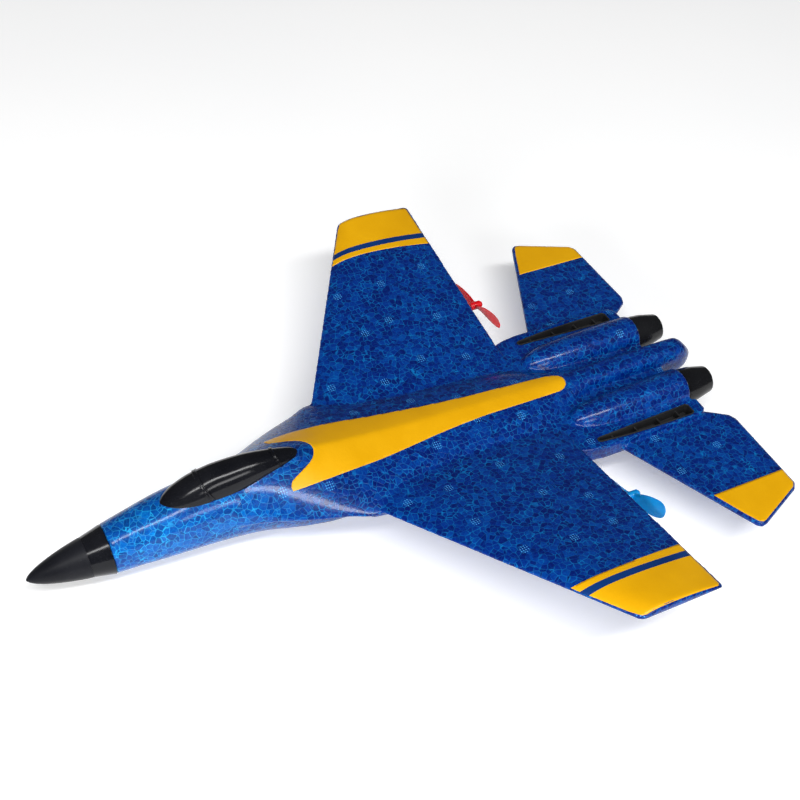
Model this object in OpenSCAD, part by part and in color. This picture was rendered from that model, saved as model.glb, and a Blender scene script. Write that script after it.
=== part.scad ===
/* [Overall] */
// Span from wing tip to wing tip
span = 290; // [270:1:310]
// Nose tip position ahead of the middle of the aircraft
nose_x = 177; // [172:1:182]
// Stinger end position behind the middle of the aircraft
tail_x = 177; // [172:1:182]

/* [Fuselage] */
// Where the foam ends and the black nose band begins
foam_front_x = 140; // [138:0.5:142]
// Height of the fuselage axis at the nose band
nose_axis_z = 17.8; // [17:0.1:18.5]
// Radius of the foam at the nose band
foam_front_r = 11.8; // [11:0.1:12.5]
// Downward tilt of the nose axis in degrees
nose_tilt = 4.8; // [3:0.1:6]
// Length of the glossy nose band
band_len = 10; // [8:0.5:12]
// Front radius of the nose band
band_front_r = 9.4; // [9:0.1:10]
// Radius of the glue spigot inside the band
spigot_r = 5.5; // [5:0.1:6.5]

/* [Wings] */
// Rise of the wing top per unit of half span
wing_rise = 0.138; // [0.12:0.001:0.15]
// Height of the wing datum on the centre plane
wing_z = 24; // [23:0.5:25]
// Leading edge position on the centre plane
wing_le_x = 47; // [44:0.5:50]
// Trailing edge position on the centre plane
wing_te_x = -81; // [-82:0.5:-80]
// Leading edge position at the tip
tip_le_x = -41.4; // [-44:0.2:-38]
// Trailing edge position at the tip
tip_te_x = -84.2; // [-85:0.2:-83]
// Height of the arched top over the edge line
wing_arch = 3.3; // [2.5:0.1:4]
// Depth of the flat underside below the edge line
wing_under = 2.3; // [2:0.1:2.8]

/* [Tail] */
// Height of the tailplane top at the root
tail_z = 24.6; // [24:0.1:25]
// Thickness of the tailplanes
tail_t = 3.4; // [3:0.1:4]
// Height of the fin pads
pad_z = 27.6; // [27:0.1:28]
// Distance of the nacelle axes from the centre plane
nacelle_y = 22; // [21:0.5:23]
// Height of the nacelle axes
nacelle_z = 25.5; // [25:0.1:26.5]
// Largest nacelle radius
nacelle_r = 10.3; // [9.8:0.1:10.6]
// Position of the foam end face of the nacelles
nacelle_end_x = -155; // [-156:0.5:-153]
// Length of the black nozzles
nozzle_len = 17.5; // [14:0.5:19]

/* [Propulsion] */
// Distance of the propeller axes from the centre plane
prop_y = 74; // [72:0.5:76]
// Height of the propeller axes
prop_z = 26; // [25.8:0.1:26.5]
// Middle of the propeller hub
prop_x = -90; // [-91:0.5:-89.5]
// Propeller radius
prop_r = 25; // [22:0.5:25]
// Resting blade angle of the port propeller
port_angle = 27; // [0:1:180]
// Resting blade angle of the starboard propeller
starboard_angle = 15; // [0:0.5:180]
// Motor can radius
can_r = 3.5; // [3.4:0.05:3.6]
// Motor can length
can_len = 16.5; // [15:0.5:17]
// Motor shaft radius
shaft_r = 0.5; // [0.4:0.05:0.6]
// Radial running clearance of the shaft
shaft_gap = 0.03; // [0.02:0.01:0.06]

/* [Electronics bay] */
// Rear end of the bay
bay_x0 = -20; // [-22:1:-18]
// Front end of the bay
bay_x1 = 36; // [34:1:36]
// Half width of the bay
bay_y = 10; // [9.5:0.1:10.2]
// Height of the bay roof
bay_z = 14; // [12:0.5:15]
// Wall of the plastic tray
tray_wall = 1; // [0.8:0.1:1.2]
// Thickness of the belly cover
cover_t = 1.2; // [1:0.1:1.5]
// Depth of the cover below the foam skin
cover_inset = 0.5; // [0.3:0.1:0.8]
// Thickness of the receiver board
board_t = 1; // [0.8:0.1:1.2]

/* [Films and wires] */
// Thickness of the printed films
film_t = 0.15; // [0.1:0.05:0.2]
// Glue line under the films
film_gap = 0.03; // [0.02:0.01:0.05]
// Distance of the wing tip film from the centre plane
wing_film_y = 116.3; // [114:0.5:119]
// Distance of the tailplane film from the centre plane
tail_film_y = 88.8; // [87:0.2:91]
// Diameter of the motor wires
wire_d = 0.8; // [0.6:0.1:1]
// Width of the wire grooves
groove_d = 3; // [2.6:0.1:3.4]

/* [Hidden] */
ring_n = 32;
wire_n = 10;
wire_side = [0, -0.3, 1];
eps = 0.01;
tip_y = span / 2;
tip_round = 3;
tip_peak = 0.35;
deck_x0 = -78;
pad_x0 = -88;
pad_x1 = -158;
slot_x0 = -94.5;
slot_x1 = -151.5;
socket_z = 20.5;
cap_len = (nose_x - foam_front_x) / cos(nose_tilt) - band_len;
can_x0 = -80.5;
can_x1 = can_x0 + can_len;
cover_z0 = cover_inset;
cover_z1 = cover_inset + cover_t;
board_z = 5;
board_x0 = bay_x0 + 2;
board_x1 = board_x0 + 22;
switch_x = bay_x0 + 8.6;
switch_y = -4.5;
socket_x = bay_x0 + 8;
socket_y = 4.5;
led_x = bay_x0 + 18;
bow_lean = 29;
wing_t_steps = [0, 0.015, 0.05, 0.11, 0.2, 0.35, 0.55, 0.78, 1];

// Fuselage stations: x, half width, bottom, widest height, top, upper and lower roundness
body_stations = [
    [142.0, 11.4, 6.5, 17.6, 29.2, 2.0, 2.0],
    [130.0, 12.4, 7.3, 18.4, 33.0, 2.2, 2.0],
    [116.0, 14.0, 8.0, 19.5, 36.8, 2.3, 2.0],
    [100.0, 15.3, 8.3, 21.0, 40.4, 2.1, 2.0],
    [84.0, 16.1, 7.6, 22.0, 41.6, 2.0, 2.1],
    [70.0, 16.6, 5.6, 22.5, 41.8, 1.9, 2.3],
    [58.0, 17.4, 2.4, 22.5, 41.4, 1.8, 2.5],
    [46.0, 18.2, -0.4, 22.5, 40.4, 1.7, 2.7],
    [34.0, 18.8, -1.8, 22.5, 38.8, 1.6, 2.9],
    [10.0, 18.8, -2.2, 22.0, 36.0, 1.6, 3.0],
    [-20.0, 18.0, -2.0, 20.5, 33.6, 1.6, 3.0],
    [-48.0, 15.6, -1.0, 18.5, 31.0, 1.8, 2.6],
    [-66.0, 13.0, 3.6, 18.5, 30.0, 2.0, 2.4],
    [-88.0, 10.0, 9.6, 19.5, 29.0, 2.0, 2.2],
    [-108.0, 7.6, 14.4, 21.0, 28.0, 2.0, 2.0]
];

// Spine and wing root blend stations in the same form
spine_stations = [
    [92.0, 14.2, 19.5, 23.0, 39.2, 1.9, 2.0],
    [80.0, 17.9, 21.0, 25.0, 41.4, 1.7, 2.0],
    [70.0, 21.6, 22.2, 26.3, 42.9, 1.5, 2.0],
    [60.0, 26.2, 22.8, 27.2, 43.6, 1.32, 2.0],
    [50.0, 30.0, 23.2, 27.6, 43.6, 1.24, 2.0],
    [38.0, 33.8, 23.6, 28.0, 42.0, 1.22, 2.0],
    [26.0, 38.2, 23.6, 28.0, 40.4, 1.2, 2.0],
    [8.0, 38.0, 22.0, 26.5, 38.6, 1.2, 2.0],
    [-20.0, 34.0, 21.0, 25.5, 36.9, 1.3, 2.0],
    [-45.0, 30.0, 20.5, 25.0, 35.8, 1.4, 2.0],
    [-75.0, 24.0, 20.0, 25.0, 34.4, 1.5, 2.0],
    [-98.0, 12.0, 19.0, 25.0, 33.6, 1.8, 2.0],
    [-112.0, 7.0, 18.0, 26.0, 33.4, 2.4, 2.0]
];

// Tail stinger stations in the same form
stinger_stations = [
    [-92.0, 7.2, 17.0, 26.0, 33.0, 2.6, 2.4],
    [-130.0, 7.0, 16.5, 25.8, 34.0, 3.0, 2.6],
    [-168.0, 6.6, 16.5, 25.5, 34.6, 3.0, 2.6],
    [-171.0, 6.0, 16.6, 25.2, 33.4, 3.0, 2.6],
    [-174.5, 4.4, 17.2, 24.6, 30.0, 2.8, 2.4],
    [-tail_x, 2.2, 18.6, 23.5, 27.0, 2.4, 2.2]
];

// Canopy stations in the same form
canopy_stations = [
    [116.5, 0.6, 33.0, 34.4, 35.8, 2.0, 2.0],
    [113.0, 4.2, 32.0, 35.6, 38.8, 2.0, 2.0],
    [107.0, 7.2, 31.0, 36.4, 42.4, 2.0, 2.0],
    [98.0, 8.8, 31.0, 37.2, 46.2, 2.0, 2.0],
    [88.0, 9.0, 32.0, 38.0, 48.4, 2.0, 2.0],
    [76.0, 8.3, 33.0, 39.2, 48.9, 2.0, 2.0],
    [64.0, 6.4, 35.0, 40.8, 47.6, 2.0, 2.0],
    [54.0, 4.0, 38.0, 42.2, 45.6, 2.0, 2.0],
    [51.2, 2.9, 39.6, 42.5, 44.8, 2.0, 2.0],
    [49.5, 1.2, 41.0, 42.8, 43.9, 2.0, 2.0]
];

// Nose cap outline: distance along the axis, radius
cap_profile = [for (i = [0:12]) let(t = i / 12) [t * cap_len, band_front_r * pow(1 - pow(t, 1.15), 0.6)]];

// Spine film outline on one side: x, distance from the centre plane
spine_film_side = [
    [-98, 0], [-97.2, 2.4], [-94.4, 4.8], [-90, 6], [-74, 6.6], [-61, 7], [-49, 7.4],
    [-35, 8.4], [-21, 9.8], [-7, 11.6], [8, 13.6], [22, 15.2], [35, 16.2], [48, 16.8],
    [60, 16.4], [60.6, 14.6], [58, 12.4], [54, 10.8], [50, 9.4], [46, 7.2], [43.2, 4.6],
    [41.9, 1.8], [41.7, 0]
];

// Path of one motor lead pair from the bay to the motor
lead_path = [
    [-18.5, 3.5, 8.5], [-23, 5, 9.5], [-30, 18, 17], [-38, 37, 27.6], [-58, 70.5, 31.9],
    [-60.5, 73.2, 30.2], [-62.4, prop_y, prop_z + 1.6]
];

function section(s, g) = [for (i = [0:ring_n - 1])
    let(a = 360 * (i + 0.5) / ring_n, c = cos(a), q = sin(a), n = q >= 0 ? s[5] : s[6],
        h = max((q >= 0 ? s[4] - s[3] : s[3] - s[2]) + g, 0.1))
    [s[0], max(s[1] + g, 0.1) * sign(c) * pow(abs(c), 2 / n), s[3] + h * sign(q) * pow(abs(q), 2 / n)]];

function arch(t) = t < tip_peak ?
    1 - pow((tip_peak - t) / tip_peak, 2.9) : 1 - pow((t - tip_peak) / (1 - tip_peak), 1.8);

function under(t) = t < 0.04 ? 0.35 + 15 * t : 0.9 + 0.1 * (1 - pow(1 - 2 * t, 2));

function wing_z0(y) = wing_z + wing_rise * y;

function edge_le(y) = wing_le_x + (tip_le_x - wing_le_x) * y / tip_y;

function edge_te(y) = wing_te_x + (tip_te_x - wing_te_x) * y / tip_y;

function wing_rib(y, inset, k, g) =
    let(x0 = edge_le(y) - inset, x1 = edge_te(y) + inset / 2, n = len(wing_t_steps))
    concat(
        [for (i = [0:n - 1]) let(t = wing_t_steps[i])
            [x0 + (x1 - x0) * t, y, wing_z0(y) + wing_arch * k * arch(t) + g]],
        [for (i = [n - 1:-1:0]) let(t = wing_t_steps[i])
            [x0 + (x1 - x0) * t, y, wing_z0(y) - wing_under * k * under(t) - 0.05]]
    );

module loft(rings) {
    n = len(rings[0]);
    m = len(rings);
    points = [for (r = rings) for (p = r) p];
    sides = [for (j = [0:m - 2]) for (i = [0:n - 1]) for (k = [0, 1]) k == 0 ?
        [j * n + i, j * n + (i + 1) % n, (j + 1) * n + i] :
        [j * n + (i + 1) % n, (j + 1) * n + (i + 1) % n, (j + 1) * n + i]];
    first = [for (i = [n - 1:-1:0]) i];
    last = [for (i = [0:n - 1]) (m - 1) * n + i];
    polyhedron(points = points, faces = concat(sides, [first], [last]), convexity = 6);
}

module body_loft(stations, g = 0) {
    loft([for (s = stations) section(s, g)]);
}

module mirrored() {
    children();
    mirror([0, 1, 0]) children();
}

module x_rod(x0, x1, r, r2 = -1) {
    translate([x0, 0, 0])
        rotate([0, 90, 0])
            cylinder(h = x1 - x0, r1 = r, r2 = r2 < 0 ? r : r2, $fn = 48);
}

module block(x0, x1, y0, y1, z0, z1) {
    translate([x0, y0, z0]) cube([x1 - x0, y1 - y0, z1 - z0]);
}

module on_nose_axis() {
    translate([foam_front_x, 0, nose_axis_z]) rotate([0, 90 + nose_tilt, 0]) children();
}

module on_motor_axis(side) {
    translate([0, side * prop_y, prop_z]) children();
}

function unit(v) = v / norm(v);

function heading(path, i) = unit(
    (i < len(path) - 1 ? unit(path[i + 1] - path[i]) : [0, 0, 0]) +
    (i > 0 ? unit(path[i] - path[i - 1]) : [0, 0, 0]));

function wire_ring(p, dir, r) =
    let(e = unit(cross(wire_side, dir)), f = cross(dir, e))
    [for (i = [0:wire_n - 1]) let(a = 360 * i / wire_n) p + r * (cos(a) * e - sin(a) * f)];

module wire(path, d) {
    loft([for (i = [0:len(path) - 1]) wire_ring(path[i], heading(path, i), d / 2)]);
}

module wing_half(g = 0) {
    loft([
        wing_rib(0, 0, 1, g),
        wing_rib(tip_y - tip_round, 0, 0.96, g),
        wing_rib(tip_y - 1, 1, 0.88, g),
        wing_rib(tip_y, 2.6, 0.6, g)
    ]);
}

module tail_outline(inset = 0) {
    polygon([
        [-101, 36], [-106, 45], [-133 - inset, 104.4], [-136.4 - inset, 111.6 - inset],
        [-138.6 - inset / 2, 113.3 - inset], [-141.5, 112.7 - inset], [-168 + inset / 2, 101 - inset],
        [-170.6 + inset, 98 - inset], [-171.3 + inset, 51], [-169.5 + inset, 47], [-160, 40.5], [-150, 36]
    ]);
}

module tail_half() {
    translate([0, 0, tail_z - tail_t]) linear_extrude(height = tail_t - 0.8) tail_outline();
    translate([0, 0, tail_z - 0.8 - eps]) linear_extrude(height = 0.8 + eps) tail_outline(0.8);
}

module slot_outline(grow) {
    polygon([
        [slot_x0 + grow, 37.2 - grow / 2], [slot_x0 - 1.5 + grow / 2, 36.3 - grow],
        [slot_x1 + 1.5, 34.2 - grow],
        [slot_x1 - grow, 35.4 - grow / 2], [slot_x1 - grow, 40.4 + grow / 2], [slot_x1 + 1.5, 41.6 + grow],
        [-130, 41.6 + grow], [-112, 41 + grow], [slot_x0 - 1.5 + grow / 2, 39.6 + grow],
        [slot_x0 + grow, 38.8 + grow / 2]
    ]);
}

module pad_half() {
    translate([0, 0, 19])
        linear_extrude(height = pad_z - 19)
            polygon([
                [deck_x0, 0], [deck_x0, 40], [pad_x0, 43], [-96, 44], [-108, 44], [-150, 43.6],
                [pad_x1 + 3, 43.2], [pad_x1, 40.5], [pad_x1, 33.2],
                [nacelle_end_x, 32.2], [nacelle_end_x, 0]
            ]);
}

module nacelle_half() {
    translate([0, nacelle_y, nacelle_z])
        rotate([0, -90, 0])
            rotate_extrude($fn = 48)
                polygon([
                    [0, 88], [2.2, 88.4], [4.4, 90], [6.4, 93.5], [7.9, 99], [8.9, 107], [9.6, 118],
                    [nacelle_r - 0.2, 132], [nacelle_r, 145], [nacelle_r, -nacelle_end_x],
                    [0, -nacelle_end_x]
                ]);
}

module trunk_half() {
    hull() {
        block(24, 26, 16, 33, 16, 24);
        block(-60, -58, 14, 34, 13, 24);
        block(-96, -94, 14, 33, 17, 24);
    }
}

module canopy_solid(g) {
    body_loft(canopy_stations, g);
}

module canopy_bow(x, z, half, wide) {
    intersection() {
        difference() {
            canopy_solid(0.6);
            canopy_solid(-0.4);
            body_loft(body_stations, 0.02);
            body_loft(spine_stations, 0.02);
        }
        translate([x, 0, z]) rotate([0, bow_lean, 0]) block(-wide / 2, wide / 2, -half, half, -6, 12);
    }
}

module lead_groove() {
    wire(lead_path, groove_d);
}

module mount_block() {
    block(-82, -60, -5, 5, 33 - prop_z - 1.4, 33 - prop_z);
}

module foam_airframe() {
    color("RoyalBlue")
        difference() {
            union() {
                body_loft(body_stations);
                body_loft(spine_stations);
                body_loft(stinger_stations);
                canopy_solid(-0.9);
                mirrored() {
                    wing_half();
                    tail_half();
                    pad_half();
                    nacelle_half();
                    trunk_half();
                }
                on_nose_axis() cylinder(h = band_len + 7, r = spigot_r, $fn = 48);
            }
            block(-200, 200, -200, 200, -20, 0);
            difference() {
                on_nose_axis() cylinder(h = 20, r = 20, $fn = 48);
                on_nose_axis() translate([0, 0, -1]) cylinder(h = 22, r = spigot_r, $fn = 48);
            }
            difference() {
                canopy_solid(0);
                canopy_solid(-0.9);
            }
            block(bay_x0 - 0.05, bay_x1 + 0.05, -bay_y - 0.05, bay_y + 0.05, -1, bay_z + 0.05);
            block(bay_x0 - 2, bay_x1 + 2, -bay_y - 1.5, bay_y + 1.5, -1, cover_z1);
            mirrored() {
                lead_groove();
                translate([0, 0, socket_z - 0.02]) linear_extrude(height = 20) slot_outline(0.05);
                translate([0, 0, pad_z - 0.8]) linear_extrude(height = 5) slot_outline(1);
                translate([0, nacelle_y, nacelle_z]) x_rod(nacelle_end_x - 1, nacelle_end_x + 8.1, 6.05);
                on_motor_axis(1) mount_block();
            }
        }
}

module nose_band() {
    color("Black")
        on_nose_axis()
            difference() {
                cylinder(h = band_len, r1 = foam_front_r, r2 = band_front_r, $fn = 64);
                translate([0, 0, -1]) cylinder(h = band_len + 2, r = spigot_r + 0.05, $fn = 48);
            }
}

module nose_cap() {
    color("DimGray")
        on_nose_axis()
            translate([0, 0, band_len])
                difference() {
                    rotate_extrude($fn = 64)
                        polygon(concat([[0, 0]], [for (p = cap_profile) [p[1], p[0]]]));
                    translate([0, 0, -1]) cylinder(h = 8.2, r = spigot_r + 0.05, $fn = 48);
                }
}

module canopy() {
    color("Black") {
        difference() {
            canopy_solid(0);
            canopy_solid(-0.85);
        }
        canopy_bow(95.5, 42, 8.4, 2.2);
        canopy_bow(60.5, 45, 5.2, 1.4);
    }
}

module nozzle(side) {
    end = -nacelle_end_x;
    tip = end + nozzle_len;
    color("Black")
        translate([0, side * nacelle_y, nacelle_z])
            rotate([0, -90, 0])
                rotate_extrude($fn = 48)
                    polygon([
                        [0, end + 2], [4.8, end + 2], [4.8, end - 8], [6, end - 8], [6, end], [9.6, end],
                        [9, end + 8], [7, tip], [6.2, tip], [7.8, end + 3], [0, end + 3]
                    ]);
}

module fin_socket(side) {
    color("Black")
        mirror([0, side > 0 ? 0 : 1, 0])
            difference() {
                translate([0, 0, socket_z]) linear_extrude(height = pad_z - 0.4 - socket_z) slot_outline(0);
                difference() {
                    translate([0, 0, socket_z + 1]) linear_extrude(height = 20) slot_outline(-0.7);
                    for (x = [-104, -118, -132, -144])
                        block(x - 0.4, x + 0.4, 30, 44, 0, pad_z - 2.4);
                }
            }
}

module spine_film() {
    color("Gold")
        intersection() {
            difference() {
                body_loft(spine_stations, film_gap + film_t);
                body_loft(spine_stations, film_gap);
            }
            translate([0, 0, 26.5])
                linear_extrude(height = 30)
                    polygon(concat(
                        spine_film_side,
                        [for (i = [len(spine_film_side) - 2:-1:1])
                            [spine_film_side[i][0], -spine_film_side[i][1]]]
                    ));
        }
}

module wing_film(side) {
    color("Gold")
        mirror([0, side > 0 ? 0 : 1, 0])
            intersection() {
                difference() {
                    wing_half(film_gap + film_t);
                    wing_half(film_gap);
                }
                translate([0, 0, 30])
                    linear_extrude(height = 30)
                        polygon([
                            [edge_le(wing_film_y) - 0.8, wing_film_y],
                            [edge_le(tip_y - 5) - 1, tip_y - 5],
                            [tip_le_x - 5.5, tip_y - 1.3],
                            [tip_te_x + 3, tip_y - 1.3],
                            [tip_te_x + 0.8, tip_y - 3],
                            [edge_te(wing_film_y) + 0.7, wing_film_y]
                        ]);
            }
}

module tail_film(side) {
    color("Gold")
        mirror([0, side > 0 ? 0 : 1, 0])
            translate([0, 0, tail_z + film_gap])
                linear_extrude(height = film_t)
                    intersection() {
                        tail_outline(1.6);
                        translate([-200, tail_film_y]) square([150, 40]);
                    }
}

module electronics_tray() {
    color("DarkSlateGray") {
        difference() {
            block(bay_x0, bay_x1, -bay_y, bay_y, cover_z1, bay_z);
            block(
                bay_x0 + tray_wall, bay_x1 - tray_wall, tray_wall - bay_y, bay_y - tray_wall,
                0, bay_z - tray_wall
            );
            for (s = [-1, 1])
                translate([bay_x0 - 1, s * 3.9, 8.7]) x_rod(0, 3, 1.6);
            for (x = [bay_x0 + 2.5, bay_x1 - 2.5])
                for (s = [-1, 1])
                    translate([x, s * (bay_y - 2.5), 0]) cylinder(h = 6, r = 0.6, $fn = 24);
        }
        for (x = [bay_x0 + 2.5, bay_x1 - 2.5])
            for (s = [-1, 1])
                difference() {
                    translate([x, s * (bay_y - 2.5), 0])
                        block(-1.7, 1.7, -1.7, 1.7, cover_z1, bay_z - tray_wall + eps);
                    translate([x, s * (bay_y - 2.5), 0]) cylinder(h = 6, r = 0.6, $fn = 24);
                }
    }
}

module belly_cover() {
    color("DarkSlateGray")
        difference() {
            block(bay_x0 - 1.9, bay_x1 + 1.9, -bay_y - 1.4, bay_y + 1.4, cover_z0, cover_z1);
            at_switch() block(-2.3, 2.3, -1.2, 1.2, 0, 5);
            block(socket_x - 2.75, socket_x + 2.75, socket_y - 2.05, socket_y + 2.05, 0, 5);
            translate([led_x, 0, 0]) cylinder(h = 5, r = 1.05, $fn = 32);
            for (x = [bay_x0 + 2.5, bay_x1 - 2.5])
                for (s = [-1, 1])
                    translate([x, s * (bay_y - 2.5), 0]) {
                        cylinder(h = 5, r = 0.65, $fn = 24);
                        cylinder(h = cover_z0 + 0.7, r = 1.35, $fn = 32);
                    }
        }
}

module cover_screws() {
    color("Silver")
        for (x = [bay_x0 + 2.5, bay_x1 - 2.5])
            for (s = [-1, 1])
                translate([x, s * (bay_y - 2.5), 0])
                    difference() {
                        union() {
                            translate([0, 0, cover_z0 + 0.1]) cylinder(h = 0.6, r = 1.3, $fn = 32);
                            translate([0, 0, cover_z0 + 0.6]) cylinder(h = 4.4, r = 0.6, $fn = 24);
                        }
                        block(-1, 1, -0.15, 0.15, 0, cover_z0 + 0.4);
                        block(-0.15, 0.15, -1, 1, 0, cover_z0 + 0.4);
                    }
}

module receiver_board() {
    color("ForestGreen")
        difference() {
            translate([0, 0, board_z])
                block(board_x0 + 2.5, board_x1, tray_wall - bay_y, bay_y - tray_wall, 0, board_t);
            for (s = [-1, 1])
                block(board_x0 - 1, board_x0 + 2.7, s * (bay_y - 2.5) - 2, s * (bay_y - 2.5) + 2, 0, 10);
        }
}

module board_components() {
    z = board_z + board_t;
    color("DimGray") {
        block(-7, -2, -2.5, 2.5, z, z + 1.5);
        block(-1, 2, -6.6, -3.4, z, z + 1.1);
        block(-12.6, -10.2, -8.4, -5.6, z, z + 0.9);
        block(-12.6, -10.2, 5.6, 8.4, z, z + 0.9);
        block(-8.8, -7.6, 5, 7, z, z + 0.5);
        block(-8.8, -7.6, -7, -5, z, z + 0.5);
        block(-6, -4.4, 3.6, 4.4, z, z + 0.5);
        block(-6, -4.4, -4.4, -3.6, z, z + 0.5);
        translate([0.6, 0, z]) cylinder(h = 3.2, r = 1.5, $fn = 32);
    }
}

module antenna_wire() {
    color("Black")
        wire([
            [-4, -8.2, board_z + board_t + 0.32], [0, -8.4, 8.6], [6, -8.6, 11.6], [26, -8.6, 11.8]
        ], 0.6);
}

module battery() {
    color("Silver") {
        block(6, 31.5, -8.5, 8.5, 4.6, 10.6);
        block(4.6, 6, -7.5, 7.5, 6, 9.2);
    }
}

module battery_pad() {
    color("White") block(8, 30, -6.5, 6.5, 10.6, bay_z - tray_wall);
}

module battery_leads() {
    z = board_z + board_t + 0.42;
    color("Red") {
        wire([[4.6 - 0.42, 5, 7.6], [3, 5.4, 8.6], [1.6, 6, 8.4], [0.4, 6.4, z]], 0.8);
        wire([[4.6 - 0.42, -2, 7.6], [3.2, -2.2, 8.2], [2.9, -2.6, z]], 0.8);
    }
}

module at_switch() {
    translate([switch_x, switch_y, 0]) children();
}

module power_switch_body() {
    color("Silver")
        difference() {
            at_switch() block(-4.2, 4.2, -1.8, 1.8, cover_z1, board_z);
            at_switch() block(-3.2, 3.2, -1.2, 1.2, cover_z1 + 0.6, board_z - 0.6);
            at_switch() block(-2.3, 2.3, -1.1, 1.1, cover_z1 - 1, cover_z1 + 1);
        }
}

module power_switch_knob() {
    color("Black") at_switch() {
        block(-1.9, -0.1, -0.75, 0.75, 0.1, cover_z1 + 1);
        block(-2.8, 0.8, -0.85, 0.85, cover_z1 + 0.95, board_z - 0.95);
    }
}

module charge_socket() {
    color("White")
        difference() {
            block(socket_x - 2.7, socket_x + 2.7, socket_y - 2, socket_y + 2, cover_z0 + 0.1, board_z);
            block(socket_x - 2.1, socket_x + 2.1, socket_y - 1.4, socket_y + 1.4, 0, board_z - 0.8);
        }
}

module status_led() {
    color("Tomato")
        translate([led_x, 0, 0]) {
            translate([0, 0, cover_z0 + 0.2]) cylinder(h = board_z - cover_z0 - 0.2 - 0.5, r = 1, $fn = 32);
            translate([0, 0, board_z - 0.6]) cylinder(h = 0.6, r = 1.4, $fn = 32);
        }
}

module motor_mount(side) {
    color("Black")
        on_motor_axis(side)
            difference() {
                union() {
                    x_rod(-79.5, -65.5, 4.6);
                    block(-79.5, -65.5, -1.4, 1.4, 3, 33 - prop_z - 1.3);
                    mount_block();
                }
                x_rod(-90, -50, can_r + 0.02);
            }
}

module motor_can(side) {
    color("Silver")
        on_motor_axis(side)
            difference() {
                x_rod(can_x0, can_x1, can_r);
                x_rod(can_x0 + 0.6, can_x1 + 1, can_r - 0.3);
                x_rod(can_x0 - 1, can_x0 + 2, 1);
            }
}

module motor_magnet(side) {
    color("DimGray")
        on_motor_axis(side)
            difference() {
                x_rod(can_x0 + 0.6, -68.5, 2);
                x_rod(-90, -60, 1);
            }
}

module motor_bushes(side) {
    color("Peru")
        on_motor_axis(side)
            difference() {
                union() {
                    x_rod(can_x0 - 0.4, -78.4, 0.99);
                    x_rod(-70.5, -68.5, 0.99);
                }
                x_rod(-90, -60, shaft_r + shaft_gap);
            }
}

module motor_end_cap(side) {
    color("White")
        on_motor_axis(side)
            difference() {
                union() {
                    x_rod(can_x1 - 1, can_x1 + eps, can_r - 0.31);
                    x_rod(can_x1, can_x1 + 0.8, can_r);
                }
                for (s = [-1, 1])
                    block(can_x1 - 2, can_x1 + 2, s * 1.9 - 0.2, s * 1.9 + 0.2, -0.8, 0.8);
            }
}

module motor_terminals(side) {
    color("Goldenrod")
        on_motor_axis(side)
            for (s = [-1, 1])
                block(can_x1 - 2.2, can_x1 + 2.4, s * 1.9 - 0.19, s * 1.9 + 0.19, -0.78, 0.78);
}

module motor_coil(side) {
    color("OrangeRed")
        on_motor_axis(side)
            difference() {
                union() {
                    x_rod(-79, -67, 2.85);
                    x_rod(-67.1, -65.6, 1.2);
                }
                x_rod(-80, -67.6, 2.35);
                x_rod(-80, -60, shaft_r);
            }
}

module motor_shaft(side) {
    color("Silver") on_motor_axis(side) x_rod(prop_x - 2.5, -65.5, shaft_r);
}

module motor_leads(side) {
    color("Red")
        mirror([0, side > 0 ? 0 : 1, 0])
            for (s = [-1, 1])
                wire([for (p = lead_path) p + [0, s * 0.55, 0]], wire_d);
}

function blade_ring(r, chord, pitch, thick) = [for (i = [0:11])
    let(a = 360 * i / 12, u = chord / 2 * cos(a), v = thick / 2 * sin(a))
    [u * sin(pitch) - v * cos(pitch), r, u * cos(pitch) + v * sin(pitch)]];

module blade() {
    loft([
        blade_ring(1, 3.4, 46, 1.6),
        blade_ring(3.5, 4, 38, 1.4),
        blade_ring(7, 6, 27, 1.2),
        blade_ring(12, 8, 18, 1.1),
        blade_ring(17, 8.7, 14, 1),
        blade_ring(21, 8.2, 12, 0.9),
        blade_ring(prop_r - 1.4, 6.4, 11, 0.8),
        blade_ring(prop_r, 3, 10, 0.5)
    ]);
}

module propeller(side) {
    angle = side > 0 ? port_angle : starboard_angle;
    on_motor_axis(side)
        translate([prop_x, 0, 0])
            difference() {
                union() {
                    rotate([angle, 0, 0]) mirror([0, 0, side > 0 ? 1 : 0]) {
                        blade();
                        rotate([180, 0, 0]) blade();
                    }
                    x_rod(-3.2, 3, 2.1);
                    x_rod(-4, -3.2 + eps, 1.4, 2.1);
                }
                x_rod(-2.5, 5, shaft_r + 0.01);
            }
}

foam_airframe();
nose_cap();
nose_band();
canopy();
nozzle(1);  // port_nozzle
nozzle(-1);  // starboard_nozzle
fin_socket(1);  // port_fin_socket
fin_socket(-1);  // starboard_fin_socket
spine_film();  // spine_decal
wing_film(1);  // port_wing_decal
wing_film(-1);  // starboard_wing_decal
tail_film(1);  // port_tail_decal
tail_film(-1);  // starboard_tail_decal
electronics_tray();
belly_cover();
cover_screws();
receiver_board();
board_components();
antenna_wire();
battery();
battery_pad();
battery_leads();
power_switch_body();
power_switch_knob();
charge_socket();
status_led();
motor_mount(1);  // port_motor_mount
motor_can(1);  // port_motor_can
motor_magnet(1);  // port_motor_magnet
motor_bushes(1);  // port_motor_bushes
motor_end_cap(1);  // port_motor_end_cap
motor_terminals(1);  // port_motor_terminals
motor_coil(1);  // port_motor_coil
motor_shaft(1);  // port_motor_shaft
motor_leads(1);  // port_motor_leads
color("DodgerBlue") propeller(1);  // port_propeller
motor_mount(-1);  // starboard_motor_mount
motor_can(-1);  // starboard_motor_can
motor_magnet(-1);  // starboard_motor_magnet
motor_bushes(-1);  // starboard_motor_bushes
motor_end_cap(-1);  // starboard_motor_end_cap
motor_terminals(-1);  // starboard_motor_terminals
motor_coil(-1);  // starboard_motor_coil
motor_shaft(-1);  // starboard_motor_shaft
motor_leads(-1);  // starboard_motor_leads
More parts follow.
